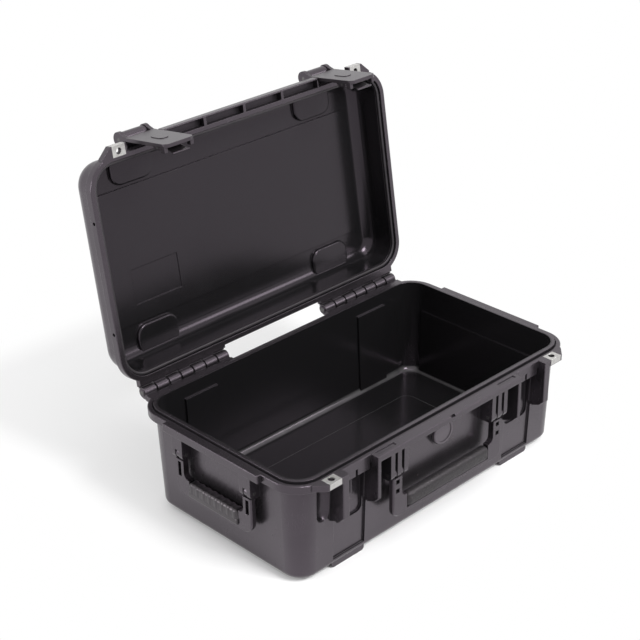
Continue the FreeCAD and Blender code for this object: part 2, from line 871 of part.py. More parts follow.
def lid_shell():
    walls = skin([lid_wire(lid_wall_out, lid_z0), lid_wire(lid_wall_out, lid_top)])
    walls = round_level(walls, lid_top, lid_top_round)
    ring = rim_slab(flange_offset, lid_z0, lid_z1)
    ring = ring.makeFillet(edge_round, ring.Edges)
    inside = half_w + wall
    shelf = soft_block(-shelf_half, shelf_half, -station_y, -inside, lid_z0, lid_z1, edge_round)
    parts = [walls, ring, shelf] + mirrored_x([eye_boss(lid_z0, lid_z1 - eye_boss_rise)])
    parts = parts + lid_latch_lugs() + knuckles(1, lid_z0, -1)
    body = joined(parts)
    cuts = [lid_cavity(), rim_slab(tongue_width + rabbet_clearance, lid_z0 - overrun, lid_z0 + rabbet_depth)]
    cuts = cuts + mirrored_x([eye_recess(lid_z0, -1)])
    through = rod_z(lid_z0 - overrun, lid_z1 + overrun, eye_x, -eye_y, eye_radius + eye_relief)
    cuts = cuts + mirrored_x([through]) + hinge_bores(hinge_pin_radius + running_fit)
    cuts = cuts + latch_pins(latch_pin_radius + fixed_fit, overrun)
    pitch = shelf_half * 2 / cell_count
    for index in range(cell_count):
        x0 = -shelf_half + index * pitch + cell_wall
        cuts.append(block(x0, x0 + pitch - cell_wall * 2, -station_y + cell_wall, -flange_y + cell_wall / 2,
                          lid_z0 - overrun, lid_z1 - cell_floor))
    hole_z = lid_z0 + lid_flange_height * end_hole_z_share
    hole_start = at(flange_x - end_hole_depth, end_hole_y, hole_z)
    hole = rod(hole_start, X_AXIS, end_hole_depth + overrun, end_hole_radius)
    cuts = cuts + mirrored_x(mirrored_y([hole]))
    cuts.append(slab(half_l - lid_panel_inset - lid_roof, lid_panel_half - lid_roof, lid_panel_corner,
                     lid_top - lid_panel_rise, lid_top + overrun))
    cuts = cuts + nest_slabs(nest_clearance, lid_top - nest_depth, lid_top + overrun)
    panel_z = ceiling_z - lid_panel_rise
    label = block(label_x - label_length / 2, label_x + label_length / 2, label_y - label_width / 2,
                  label_y + label_width / 2, panel_z - overrun, panel_z + label_depth)
    cuts.append(label)
    for tool in cuts:
        body = body.cut(tool)
    return body.removeSplitter()


def lid_gasket():
    z1 = lid_z0 + rabbet_depth
    z0 = rim_z + gasket_gap
    ring = rim_slab(tongue_width + rabbet_clearance - gasket_side_gap, z0, z1)
    return ring.cut(rim_slab(lid_wall_in + gasket_side_gap, z0 - overrun, z1 + overrun))


def latch_pins(radius, extra):
    half = latch_half + extra
    return mirrored_x([rod_x(station_x - half, station_x + half, -latch_y, latch_pivot_z, radius)])


def latch():
    x0 = station_x - latch_half
    x1 = station_x + latch_half
    plate = block(x0, x1, -plate_y1, -plate_y0, latch_tip_z, latch_plate_top_z)
    corners = []
    for edge in plate.Edges:
        box = edge.BoundBox
        if box.ZLength < overrun and box.XLength < overrun and box.ZMax < latch_plate_top_z:
            corners.append(edge)
    plate = plate.makeFillet(latch_corner, corners)
    pieces = [plate]
    for e0, e1 in ((x0, x0 + latch_ear), (x1 - latch_ear, x1)):
        pieces.append(rod_x(e0, e1, -latch_y, latch_pivot_z, latch_ear_round))
        pieces.append(prism_x([(-plate_y1, latch_plate_top_z - latch_corner), (-plate_y1, latch_plate_top_z),
                               (-latch_y - latch_ear_round, latch_pivot_z), (-latch_y, latch_pivot_z),
                               (-plate_y0, latch_plate_top_z - latch_corner)], e0, e1))
        pieces.append(block(e0, e1, -plate_y1 + latch_plate_thick / 2, -plate_y1 + latch_tip_block,
                            latch_tip_z + latch_corner / 2, latch_tip_z + latch_tip_height))
    low = trigger_pivot_z - trigger_hub_radius * 2
    high = trigger_pivot_z + trigger_hub_radius * 2
    cheek_in = trigger_bar_half + latch_lug_clearance
    cheeks = [(station_x - cheek_in - latch_cheek, station_x - cheek_in),
              (station_x + cheek_in, station_x + cheek_in + latch_cheek)]
    cheek_y = trigger_hub_radius - trigger_hub_out
    for c0, c1 in cheeks:
        pieces.append(block(c0, c1, -plate_y0 - seat_overlap, cheek_y, low, high))
    badge = slab(latch_badge_width / 2, latch_badge_length / 2, latch_badge_width / 2 - seat_overlap, 0,
                 latch_badge_rise + seat_overlap)
    badge = turned(badge, ORIGIN, X_AXIS, quarter)
    middle = (latch_tip_z + latch_plate_top_z) / 2
    badge.translate(at(station_x, -plate_y1 + seat_overlap, middle))
    pieces.append(badge)
    body = joined(pieces)
    bores = latch_pins(latch_pin_radius + running_fit, overrun)[:1]
    bores = bores + trigger_pins(trigger_pin_radius + fixed_fit, overrun)
    for tool in bores:
        body = body.cut(tool)
    pocket_half = trigger_half + nose_pocket_clearance
    pocket = block(station_x - pocket_half, station_x + pocket_half, -plate_y0 - nose_pocket_depth,
                   -plate_y0 + overrun, trigger_pivot_z + trigger_hub_radius, catch_z + nose_pocket_clearance)
    return body.cut(pocket)


def trigger_pins(radius, extra):
    half = trigger_bar_half + latch_lug_clearance + latch_cheek + extra
    return [rod_x(station_x - half, station_x + half, -trigger_hub_out, trigger_pivot_z, radius)]


def latch_trigger():
    x0 = station_x - trigger_half
    x1 = station_x + trigger_half
    bar_out = plate_y0 - trigger_bar_gap
    bar_in = bar_out - trigger_bar_thick
    bar = soft_block(station_x - trigger_bar_half, station_x + trigger_bar_half, -bar_out, -bar_in,
                     latch_tip_z, latch_tip_z + trigger_bar_height, edge_round)
    hub = rod_x(station_x - trigger_bar_half, station_x + trigger_bar_half, -trigger_hub_out, trigger_pivot_z,
                trigger_hub_radius)
    half_t = trigger_lever_thick / 2
    mid_bar = (bar_out + bar_in) / 2
    hub_front = (-trigger_hub_out - half_t, trigger_pivot_z)
    hub_back = (-trigger_hub_out + half_t, trigger_pivot_z)
    lever = prism_x([(-mid_bar - half_t + edge_round, latch_tip_z + edge_round),
                     (-mid_bar + half_t - edge_round, latch_tip_z + edge_round), hub_back, hub_front], x0, x1)
    nose_out = plate_y0 - nose_lever_gap
    nose_in = flange_y + nose_clear
    nose_top = catch_z - nose_gap
    nose = prism_x([hub_front, hub_back, (-nose_out + trigger_lever_thick, nose_bottom_z),
                    (-nose_in, nose_top - nose_flat), (-nose_in, nose_top), (-nose_out, nose_top)], x0, x1)
    body = joined([bar, hub, lever, nose])
    for tool in trigger_pins(trigger_pin_radius + running_fit, overrun):
        body = body.cut(tool)
    return body


def valve_parts():
    seat = outer_wall_y(valve_z) + valve_seat_out
    inner_face = half_w - (rim_z - valve_z) * lean
    nut_face = inner_face - wall / 2
    front = seat + valve_seal_thick
    tail = nut_face - valve_nut_thick - valve_stem_beyond
    head = rod_y(-front - valve_thick, -front, 0, valve_z, valve_radius)
    rim = [edge for edge in head.Edges if edge.BoundBox.YMax < -front - overrun and edge.BoundBox.XMax > 0]
    head = head.makeChamfer(edge_round, rim[:1])
    head_y = -front - valve_thick
    head = head.cut(rod_y(head_y - overrun, head_y + valve_dish_depth, 0, valve_z, valve_dish_radius))
    stem = rod_y(-front - seat_overlap, -tail, 0, valve_z, valve_stem_radius)
    housing = joined([head, stem])
    housing = housing.cut(rod_y(-front, -tail + overrun, 0, valve_z, valve_bore_radius))
    seal = rod_y(-front, -seat, 0, valve_z, valve_seal_outer).cut(
        rod_y(-front - overrun, -seat + overrun, 0, valve_z, valve_seal_inner))
    nut = rod_y(-nut_face, -nut_face + valve_nut_thick, 0, valve_z, valve_nut_radius)
    nut = nut.cut(rod_y(-nut_face - overrun, -nut_face + valve_nut_thick + overrun, 0, valve_z,
                        valve_stem_radius + fixed_fit))
    disc = rod_y(-front + valve_disc_gap, -front + valve_disc_gap + valve_disc_thick, 0, valve_z,
                 valve_bore_radius - fixed_fit)
    return housing, seal, nut, disc


def lid_swing(shape):
    return turned(shape, at(0, hinge_y, hinge_z), X_AXIS, -lid_open_deg)


def other_side(shape):
    return shape.mirror(ORIGIN, X_AXIS)


def assemble():
    nodes = {}
    nodes["base_shell"] = base_shell()
    plate = eye_plate(flange_z1, 1)
    nodes["base_padlock_plate_right"] = plate
    nodes["base_padlock_plate_left"] = other_side(plate)
    pin_x1 = hinge_group_start + knuckle_count * knuckle_length
    hinge_pin = rod_x(hinge_group_start, pin_x1, hinge_y, hinge_z, hinge_pin_radius)
    nodes["hinge_pin_right"] = hinge_pin
    nodes["hinge_pin_left"] = other_side(hinge_pin)
    pins = front_pins(handle_pin_radius, 0)
    nodes["front_handle_pin_right"] = pins[0]
    nodes["front_handle_pin_left"] = pins[1]
    names = ["right_back", "right_front", "left_back", "left_front"]
    for name, pin in zip(names, side_pins(handle_pin_radius, 0)):
        nodes["side_handle_pin_" + name] = pin
    housing, seal, nut, disc = valve_parts()
    nodes["valve_housing"] = housing
    nodes["valve_seal"] = seal
    nodes["valve_nut"] = nut
    nodes["valve_disc"] = disc
    nodes["front_handle_frame"] = front_handle_frame()
    nodes["front_handle_grip"] = front_handle_grip()
    frame = side_handle_frame()
    grip = side_handle_grip()
    nodes["side_handle_frame_right"] = frame
    nodes["side_handle_grip_right"] = grip
    nodes["side_handle_frame_left"] = other_side(frame)
    nodes["side_handle_grip_left"] = other_side(grip)
    nodes["lid_shell"] = lid_swing(lid_shell())
    nodes["lid_gasket"] = lid_swing(lid_gasket())
    lid_plate = lid_swing(eye_plate(lid_z0, -1))
    nodes["lid_padlock_plate_right"] = lid_plate
    nodes["lid_padlock_plate_left"] = other_side(lid_plate)
    moving = {"latch": latch(), "latch_trigger": latch_trigger()}
    moving["trigger_pin"] = trigger_pins(trigger_pin_radius, 0)[0]
    moving["latch_pin"] = latch_pins(latch_pin_radius, 0)[0]
    for name, shape in moving.items():
        shape = lid_swing(shape)
        nodes[name + "_right"] = shape
        nodes[name + "_left"] = other_side(shape)
    return nodes


nodes = assemble()
whole = FreeCAD.BoundBox()
for shape in nodes.values():
    whole.add(shape.BoundBox)
lid_points = nodes["lid_shell"].tessellate(level_band)[0]
whole.YMax = max(point.y for point in lid_points)
shift = at(-whole.Center.x, -whole.Center.y, -whole.ZMin)
os.makedirs("parts", exist_ok=True)
for name, shape in nodes.items():
    shape.translate(shift)
    shape.exportStep("parts/" + name + ".step")
    box = shape.BoundBox
    print(name, len(shape.Solids), shape.isValid(), round(shape.Volume), [round(value, 2) for value in (
        box.XMin, box.XMax, box.YMin, box.YMax, box.ZMin, box.ZMax)])
print("shift", [round(value, 4) for value in shift])
print("hinge", hinge_y, hinge_z, "latch pivot", latch_y, latch_pivot_z)
print("trigger", trigger_hub_out, trigger_pivot_z)
print("front handle", handle_y, handle_pivot_z, "side handle", side_pivot_x, side_pivot_z)
print("eye", eye_x, eye_y, flange_z1, "plates", plate_y0, plate_y1, "station", station_y, "catch", catch_z)
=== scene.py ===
import json
import math

import bmesh
import bpy
from mathutils import Matrix, Vector


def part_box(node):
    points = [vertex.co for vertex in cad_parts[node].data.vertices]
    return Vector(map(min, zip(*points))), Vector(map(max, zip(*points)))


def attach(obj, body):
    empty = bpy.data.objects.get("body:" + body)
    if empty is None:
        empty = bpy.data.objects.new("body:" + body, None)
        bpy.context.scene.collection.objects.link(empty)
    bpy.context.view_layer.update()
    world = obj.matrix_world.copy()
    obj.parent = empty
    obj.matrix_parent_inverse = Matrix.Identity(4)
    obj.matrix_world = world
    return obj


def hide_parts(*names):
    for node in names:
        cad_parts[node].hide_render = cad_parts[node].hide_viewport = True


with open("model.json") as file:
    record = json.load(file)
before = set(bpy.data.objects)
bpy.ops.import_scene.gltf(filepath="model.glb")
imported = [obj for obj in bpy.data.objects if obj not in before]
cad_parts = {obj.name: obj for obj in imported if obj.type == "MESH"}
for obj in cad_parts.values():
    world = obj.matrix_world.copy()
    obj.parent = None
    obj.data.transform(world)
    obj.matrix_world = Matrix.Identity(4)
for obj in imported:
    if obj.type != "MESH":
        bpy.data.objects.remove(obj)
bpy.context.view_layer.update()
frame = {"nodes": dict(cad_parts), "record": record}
nodes = frame["nodes"]
print("frame loaded:", len(nodes), "nodes")

# Places read from the frame: the tub's middle and the lid's swing
sideLow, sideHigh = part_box("side_handle_frame_left")
tubMiddle = Vector((0.0, (sideLow.y + sideHigh.y) / 2, 0.0))
lidJoint = next(joint for joint in frame["record"]["behaviour"]["joints"] if joint["name"] == "lid_hinge")
hingeSpot = Vector(lidJoint["pos_m"])
lidSwing = math.radians(lidJoint["range_deg"][1])
lidTurn = Matrix.Translation(hingeSpot) @ Matrix.Rotation(-lidSwing, 4, "X") @ Matrix.Translation(-hingeSpot)
lidBack = lidTurn.inverted()


class Wire:
    def __init__(self, finish, socket):
        self.finish = finish
        self.socket = socket

    def calc(self, operation, first, second):
        return self.finish.node("ShaderNodeMath", {"operation": operation}, {0: first, 1: second})

    def __add__(self, other):
        return self.calc("ADD", self, other)

    def __radd__(self, other):
        return self.calc("ADD", other, self)

    def __sub__(self, other):
        return self.calc("SUBTRACT", self, other)

    def __rsub__(self, other):
        return self.calc("SUBTRACT", other, self)

    def __mul__(self, other):
        return self.calc("MULTIPLY", self, other)

    def __rmul__(self, other):
        return self.calc("MULTIPLY", other, self)

    def most(self, other):
        return self.calc("MAXIMUM", self, other)

    def size(self):
        return self.calc("ABSOLUTE", self, 0.0)


class Finish:
    edgeSamples = 4
    recessShadeSamples = 8
    seenRayNames = ("Is Camera Ray", "Is Glossy Ray", "Is Transmission Ray")

    def __init__(self, name, holder=None):
        self.holder = holder or bpy.data.materials.new(name)
        self.holder.use_nodes = True
        self.tree = self.holder.node_tree
        self.tree.nodes.clear()

    def node(self, kind, settings, values, output=0):
        made = self.tree.nodes.new(kind)
        for key, value in settings.items():
            setattr(made, key, value)
        for key, value in values.items():
            if isinstance(value, Wire):
                self.tree.links.new(value.socket, made.inputs[key])
            else:
                made.inputs[key].default_value = value
        return Wire(self, made.outputs[output]) if made.outputs else None

    def spot(self):
        return self.node("ShaderNodeTexCoord", {}, {}, "Object")

    def mapped(self, vector, place=(0, 0, 0), turn=(0, 0, 0), scale=(1, 1, 1)):
        values = {"Vector": vector, "Location": place, "Rotation": turn, "Scale": scale}
        return self.node("ShaderNodeMapping", {}, values)

    def noise(self, vector, grain, detail, rough):
        values = {"Vector": vector, "Scale": 1.0 / grain, "Detail": detail, "Roughness": rough}
        return self.node("ShaderNodeTexNoise", {}, values, "Fac")

    def band(self, value, low, high):
        values = {"Value": value, "From Min": low, "From Max": high}
        return self.node("ShaderNodeMapRange", {"interpolation_type": "SMOOTHSTEP"}, values)

    def blend(self, share, first, second):
        return self.node("ShaderNodeMix", {"data_type": "RGBA"}, {0: share, 6: first, 7: second}, 2)

    def along(self, first, second):
        return self.node("ShaderNodeVectorMath", {"operation": "DOT_PRODUCT"}, {0: first, 1: second}, "Value")

    def toward(self, spot, centre, soft):
        normal = self.node("ShaderNodeTexCoord", {}, {}, "Normal")
        way = self.node("ShaderNodeVectorMath", {"operation": "SUBTRACT"}, {0: centre, 1: spot})
        return self.band(self.along(way, normal), 0.0, soft)

    def split(self, vector):
        parts = self.node("ShaderNodeSeparateXYZ", {}, {"Vector": vector})
        return [Wire(self, socket) for socket in parts.socket.node.outputs]

    def outside(self, x, y, halfX, halfY, corner):
        pastX = (x.size() - halfX + corner).most(0.0)
        pastY = (y.size() - halfY + corner).most(0.0)
        past = self.node("ShaderNodeCombineXYZ", {}, {"X": pastX, "Y": pastY, "Z": 0.0})
        return self.node("ShaderNodeVectorMath", {"operation": "LENGTH"}, {0: past}, "Value") - corner

    def edges(self, radius, low, high):
        rounded = self.node("ShaderNodeBevel", {"samples": self.edgeSamples}, {"Radius": radius})
        plain = self.node("ShaderNodeNewGeometry", {}, {}, "Normal")
        return rounded, self.band(1 - self.along(rounded, plain), low, high)

    # Painted shade: a share that grows where ambient occlusion finds near surfaces in recesses
    def recessShade(self, reach, clearFrom, fullShadeFrom):
        settings = {"samples": self.recessShadeSamples, "only_local": True}
        clear = self.node("ShaderNodeAmbientOcclusion", settings, {"Distance": reach}, "AO")
        return self.band(clear, clearFrom, fullShadeFrom)

    def bump(self, height, distance, strength, normal):
        values = {"Height": height, "Distance": distance, "Strength": strength, "Normal": normal}
        return self.node("ShaderNodeBump", {}, values)

    def seenRays(self):
        path = self.node("ShaderNodeLightPath", {}, {}).socket.node.outputs
        camera, glossy, passing = [Wire(self, path[ray]) for ray in self.seenRayNames]
        return camera.most(glossy).most(passing)

    def surface(self, values, shadeShare=None, shadeValues=None):
        shader = self.node("ShaderNodeBsdfPrincipled", {}, values)
        # The second shader, mixed in by its share, is painted shade
        if shadeShare:
            other = self.node("ShaderNodeBsdfPrincipled", {}, {**values, **shadeValues})
            shader = self.node("ShaderNodeMixShader", {}, {0: shadeShare, 1: shader, 2: other})
        self.node("ShaderNodeOutputMaterial", {}, {"Surface": shader})
        return self.holder


def rgb(red, green, blue):
    return (red, green, blue, 1.0)


white = rgb(1.0, 1.0, 1.0)
noiseMiddle = 0.5

# Moulded plastic: mottled dark colour, fine spark grain, rubbed edges and faint scuffs, with painted shade in
# recesses and corners (a share of a darker, duller shader)
plasticSkin = {"cloud": (4.0, 0.6), "grain": (3.0, 0.65), "scuff": (3.0, 0.6), "scuffTurn": (0.3, 0.5, 0.2),
               "scuffStretch": (1.0, 9.0, 1.0), "scuffBand": (0.62, 0.74), "edgeBand": (0.01, 0.22),
               "recessShadeBand": (0.85, 0.45), "rubGrain": 0.35, "rubBand": (0.4, 0.9), "mottleBand": (0.3, 0.7),
               "grainSwing": 0.06, "rubSmooth": 0.07, "scuffMatt": 0.05, "shadeMatt": 0.2, "scuffBump": 0.5}


def mouldedPlastic(name, look, inside=None):
    skin = plasticSkin
    finish = Finish(name)
    spot = finish.spot()
    cloud = finish.noise(spot, look["cloud"], *skin["cloud"])
    grain = finish.noise(spot, look["grain"], *skin["grain"])
    scuffSpot = finish.mapped(spot, turn=skin["scuffTurn"], scale=skin["scuffStretch"])
    scuff = finish.band(finish.noise(scuffSpot, look["scuff"], *skin["scuff"]), *skin["scuffBand"])
    rounded, edge = finish.edges(look["edge"], *skin["edgeBand"])
    # Painted shade: occlusion in recesses mixes in the darker, duller shader
    shadeShare = finish.recessShade(look["recessShade"], *skin["recessShadeBand"])
    rubbed = edge * finish.band(cloud + skin["rubGrain"] * grain, *skin["rubBand"])
    colour = finish.blend(finish.band(cloud, *skin["mottleBand"]), look["dark"], look["pale"])
    colour = finish.blend(look["wear"] * rubbed, colour, look["worn"])
    colour = finish.blend(look["scuffed"] * scuff, colour, look["worn"])
    rough = look["rough"] + look["swing"] * (cloud - noiseMiddle) + skin["grainSwing"] * (grain - noiseMiddle)
    rough = rough - skin["rubSmooth"] * rubbed + skin["scuffMatt"] * scuff
    shadeRough = rough + skin["shadeMatt"]
    shadeColour = look["inner"]
    # Inside the tub and the lid the darker, duller shader is painted shade as well
    if inside:
        within, paintedHighlight = inside(finish, spot)
        shadeShare = shadeShare.most(within)
        shadeRough = shadeRough - look["innerGloss"] * within
        # Painted highlight: a paler inside colour along the tub's lines
        if paintedHighlight:
            shadeColour = finish.blend(paintedHighlight * cloud, look["inner"], look["innerWorn"])
    normal = finish.bump(grain + skin["scuffBump"] * scuff, look["grainHeight"], look["grainBump"], rounded)
    return finish.surface({"Base Color": colour, "Roughness": rough, "Normal": normal, "IOR": look["ior"],
                           "Specular Tint": look["gloss"]}, shadeShare,
                          {"Base Color": shadeColour, "Roughness": shadeRough, "IOR": look["innerIor"]})


# Soft rubber: matt, speckled, with a pebbled skin
rubberSkin = {"cloud": (3.0, 0.6), "fleck": (1.0, 0.5), "pebbleSmooth": 0.6, "fleckBand": (0.62, 0.72),
              "edgeBand": (0.01, 0.25), "mottleBand": (0.3, 0.7), "edgeWear": 0.35, "fleckSmooth": 0.08,
              "cloudBump": 0.3}


def mouldedRubber(name, look):
    skin = rubberSkin
    finish = Finish(name)
    spot = finish.spot()
    cloud = finish.noise(spot, look["cloud"], *skin["cloud"])
    cells = {"Vector": spot, "Scale": 1.0 / look["pebble"], "Smoothness": skin["pebbleSmooth"]}
    pebble = finish.node("ShaderNodeTexVoronoi", {"feature": "SMOOTH_F1"}, cells, "Distance")
    fleck = finish.band(finish.noise(spot, look["fleck"], *skin["fleck"]), *skin["fleckBand"])
    rounded, edge = finish.edges(look["edge"], *skin["edgeBand"])
    colour = finish.blend(finish.band(cloud, *skin["mottleBand"]), look["dark"], look["pale"])
    colour = finish.blend(look["fleckShare"] * fleck, colour, look["worn"])
    colour = finish.blend(skin["edgeWear"] * edge * cloud, colour, look["worn"])
    rough = look["rough"] + look["swing"] * (cloud - noiseMiddle) - skin["fleckSmooth"] * fleck
    height = pebble + skin["cloudBump"] * cloud
    normal = finish.bump(height, look["pebbleHeight"], look["pebbleBump"], rounded)
    return finish.surface({"Base Color": colour, "Roughness": rough, "Normal": normal, "IOR": look["ior"],
                           "Specular Tint": look["gloss"]})


# Stainless steel: drawn lines along one direction, rubbed corners, faint stains
steelSkin = {"lines": (3.0, 0.6), "stain": (4.0, 0.6), "edgeBand": (0.01, 0.3), "stainBand": (0.35, 0.75),
             "edgeWear": 0.5, "lineSwing": 0.14, "stainSwing": 0.12, "edgeSmooth": 0.06, "lineBump": 0.35}


def drawnSteel(name, look):
    skin = steelSkin
    finish = Finish(name)
    spot = finish.spot()
    lines = finish.noise(finish.mapped(spot, scale=look["draw"]), look["line"], *skin["lines"])
    stain = finish.noise(spot, look["stain"], *skin["stain"])
    rounded, edge = finish.edges(look["edge"], *skin["edgeBand"])
    colour = finish.blend(finish.band(stain, *skin["stainBand"]), look["pale"], look["dark"])
    colour = finish.blend(skin["edgeWear"] * edge, colour, look["worn"])
    rough = look["rough"] + skin["lineSwing"] * (lines - noiseMiddle)
    rough = rough + skin["stainSwing"] * (stain - noiseMiddle) - skin["edgeSmooth"] * edge
    normal = finish.bump(lines, look["lineHeight"], skin["lineBump"], rounded)
    return finish.surface({"Base Color": colour, "Roughness": rough, "Metallic": 1.0, "Normal": normal})


# Inside of the tub and the lid: smoother than the grained outside, and darker through painted shade
tubInside = {"halfLength": 0.2625, "halfWidth": 0.1460, "rim": 0.1605, "floor": 0.0045, "lean": 0.0384,
             "corner": 0.0310, "centre": (0.0, tubMiddle.y, 0.3), "soft": 0.0006, "facing": 0.006}
lidInside = {"halfLength": 0.2636, "halfWidth": 0.1471, "mouth": 0.1581, "roof": 0.2150, "lean": 0.0524,
             "corner": 0.0321, "centre": tuple(lidTurn @ Vector((0.0, tubMiddle.y, 0.1))), "soft": 0.0006,
             "facing": 0.006}
# Painted highlight lines in the tub: a paler colour on the round between walls and floor and on the outline
# of the floor's panel
tubHighlightLines = {"panelX": 0.1857, "panelY": 0.0812, "panelCorner": 0.0152, "panelBand": (0.0016, 0.0004),
             "level": 0.0105, "filletBand": (0.0098, 0.0056), "filletHighlightShare": 1.6}


def insideTub(finish, spot):
    x, y, z = finish.split(finish.mapped(spot, place=tuple(-tubMiddle)))
    taper = tubInside["lean"] * (tubInside["rim"] - z)
    halfX = tubInside["halfLength"] - taper
    halfY = tubInside["halfWidth"] - taper
    wallGap = finish.outside(x, y, halfX, halfY, tubInside["corner"])
    across = finish.band(wallGap, 0.0, -tubInside["soft"])
    above = finish.band(z, tubInside["floor"], tubInside["floor"] + tubInside["soft"])
    within = across * above * finish.toward(spot, tubInside["centre"], tubInside["facing"])
    # Painted highlight: paler lines on the wall-floor round and on the floor panel's outline
    filletHighlight = finish.band(z - tubHighlightLines["level"] - wallGap, *tubHighlightLines["filletBand"])
    step = finish.outside(x, y, tubHighlightLines["panelX"], tubHighlightLines["panelY"], tubHighlightLines["panelCorner"]).size()
    panelHighlight = finish.band(step, *tubHighlightLines["panelBand"])
    return within, within * panelHighlight.most(tubHighlightLines["filletHighlightShare"] * filletHighlight)


def insideLid(finish, spot):
    place = tuple(lidBack.translation - tubMiddle)
    x, y, z = finish.split(finish.mapped(spot, place=place, turn=(lidSwing, 0, 0)))
    taper = lidInside["lean"] * (z - lidInside["mouth"])
    halfX = lidInside["halfLength"] - taper
    halfY = lidInside["halfWidth"] - taper
    wallGap = finish.outside(x, y, halfX, halfY, lidInside["corner"])
    across = finish.band(wallGap, 0.0, -lidInside["soft"])
    below = finish.band(lidInside["roof"] - z, 0.0, lidInside["soft"])
    return across * below * finish.toward(spot, lidInside["centre"], lidInside["facing"]), None


# The inside colour and inside IOR make a darker, duller copy of the plastic: painted shade in recesses and
# inside the tub and lid
shellLook = {"dark": rgb(0.0105, 0.0094, 0.0104), "pale": rgb(0.0140, 0.0125, 0.0139),
             "worn": rgb(0.10, 0.093, 0.099), "inner": rgb(0.0082, 0.0079, 0.0085),
             # the paler inside colour here is painted highlight on the tub's fillet and panel lines
             "innerWorn": rgb(0.10, 0.098, 0.10), "innerGloss": 0.27, "gloss": rgb(1.0, 0.84, 1.0),
             "rough": 0.25, "swing": 0.10, "wear": 0.4, "scuffed": 0.05, "cloud": 0.06, "grain": 0.0009,
             "scuff": 0.02, "edge": 0.0012, "grainHeight": 0.00010, "grainBump": 0.30, "recessShade": 0.030,
             "ior": 1.69, "innerIor": 1.44}
latchLook = {**shellLook, "dark": rgb(0.013, 0.0116, 0.0129), "pale": rgb(0.018, 0.0160, 0.0178),
             "rough": 0.30, "ior": 1.62, "edge": 0.0009, "grain": 0.0007, "recessShade": 0.008}
handleLook = {**shellLook, "rough": 0.26, "edge": 0.001, "grain": 0.0008, "recessShade": 0.008}
valveLook = {**shellLook, "dark": rgb(0.030, 0.0268, 0.030), "pale": rgb(0.038, 0.0338, 0.038),
             "rough": 0.30, "edge": 0.0008, "recessShade": 0.006}
# Near-black, matt finish of the hinge lips: painted shade in the hinge gaps
lipShadeLook = {**shellLook, "dark": rgb(0.0040, 0.0038, 0.0041), "pale": rgb(0.0055, 0.0052, 0.0056),
           "rough": 0.55, "wear": 0.1, "ior": 1.38, "edge": 0.0003}
gripLook = {"dark": rgb(0.0090, 0.0085, 0.0088), "pale": rgb(0.0150, 0.0140, 0.0146),
            "worn": rgb(0.15, 0.145, 0.145), "gloss": rgb(1.0, 0.90, 0.98), "rough": 0.50, "ior": 1.47,
            "swing": 0.16, "cloud": 0.012, "pebble": 0.0026, "fleck": 0.0016, "fleckShare": 0.30,
            "edge": 0.0008, "pebbleHeight": 0.0008, "pebbleBump": 0.6}
endGripLook = {**gripLook, "dark": rgb(0.0110, 0.0100, 0.0108), "pale": rgb(0.0160, 0.0146, 0.0157),
               "rough": 0.36, "ior": 1.62, "swing": 0.10, "fleckShare": 0.08, "pebbleHeight": 0.0003,
               "pebbleBump": 0.3}
sealLook = {**gripLook, "dark": rgb(0.010, 0.010, 0.011), "pale": rgb(0.018, 0.017, 0.018), "rough": 0.52,
            "ior": 1.54, "fleckShare": 0.08, "pebbleHeight": 0.0001, "pebbleBump": 0.25}
plateLook = {"pale": rgb(0.60, 0.59, 0.575), "dark": rgb(0.46, 0.45, 0.44), "worn": rgb(0.74, 0.73, 0.71),
             "rough": 0.3, "draw": (40.0, 1.0, 1.0), "line": 0.02, "lineHeight": 0.00004, "stain": 0.006,
             "edge": 0.0005}
pinLook = {**plateLook, "pale": rgb(0.15, 0.147, 0.145), "dark": rgb(0.10, 0.099, 0.098),
           "worn": rgb(0.3, 0.295, 0.29), "rough": 0.38, "draw": (1.0, 30.0, 30.0)}

basePlastic = mouldedPlastic("basePlastic", shellLook, insideTub)
lidPlastic = mouldedPlastic("lidPlastic", shellLook, insideLid)
latchPlastic = mouldedPlastic("latchPlastic", latchLook)
handlePlastic = mouldedPlastic("handlePlastic", handleLook)
valvePlastic = mouldedPlastic("valvePlastic", valveLook)
hingeShadePlastic = mouldedPlastic("hingeShadePlastic", lipShadeLook)
gripRubber = mouldedRubber("gripRubber", gripLook)
endGripRubber = mouldedRubber("endGripRubber", endGripLook)
sealRubber = mouldedRubber("sealRubber", sealLook)
plateSteel = drawnSteel("plateSteel", plateLook)
pinSteel = drawnSteel("pinSteel", pinLook)

finishByStart = {"base_shell": basePlastic, "lid_shell": lidPlastic, "latch_left": latchPlastic,
                 "latch_right": latchPlastic, "latch_trigger": latchPlastic, "latch_pin": pinSteel,
                 "trigger_pin": pinSteel, "hinge_pin": pinSteel, "front_handle_pin": pinSteel,
                 "side_handle_pin": pinSteel, "front_handle_frame": handlePlastic,
                 "side_handle_frame": handlePlastic, "front_handle_grip": gripRubber,
                 "side_handle_grip": endGripRubber, "valve_housing": valvePlastic, "valve_nut": valvePlastic,
                 "valve_disc": sealRubber, "valve_seal": sealRubber, "lid_gasket": sealRubber,
                 "base_padlock_plate": plateSteel, "lid_padlock_plate": plateSteel}
for nodeName, nodeObject in nodes.items():
    start = max((key for key in finishByStart if nodeName.startswith(key)), key=len)
    for slot in nodeObject.material_slots:
        slot.material = finishByStart[start]
print("finishes set on", len(nodes), "nodes")

smoothBelow = math.radians(38)


def newPiece(name, bm, finish, body, replaced=()):
    bmesh.ops.recalc_face_normals(bm, faces=bm.faces[:])
    for face in bm.faces:
        face.smooth = True
    for edge in bm.edges:
        edge.smooth = edge.calc_face_angle(math.pi) < smoothBelow
    mesh = bpy.data.meshes.new(name)
    bm.to_mesh(mesh)
    bm.free()
    piece = bpy.data.objects.new(name, mesh)
    bpy.context.scene.collection.objects.link(piece)
    mesh.materials.append(finish)
    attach(piece, body)
    if replaced:
        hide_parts(*replaced)


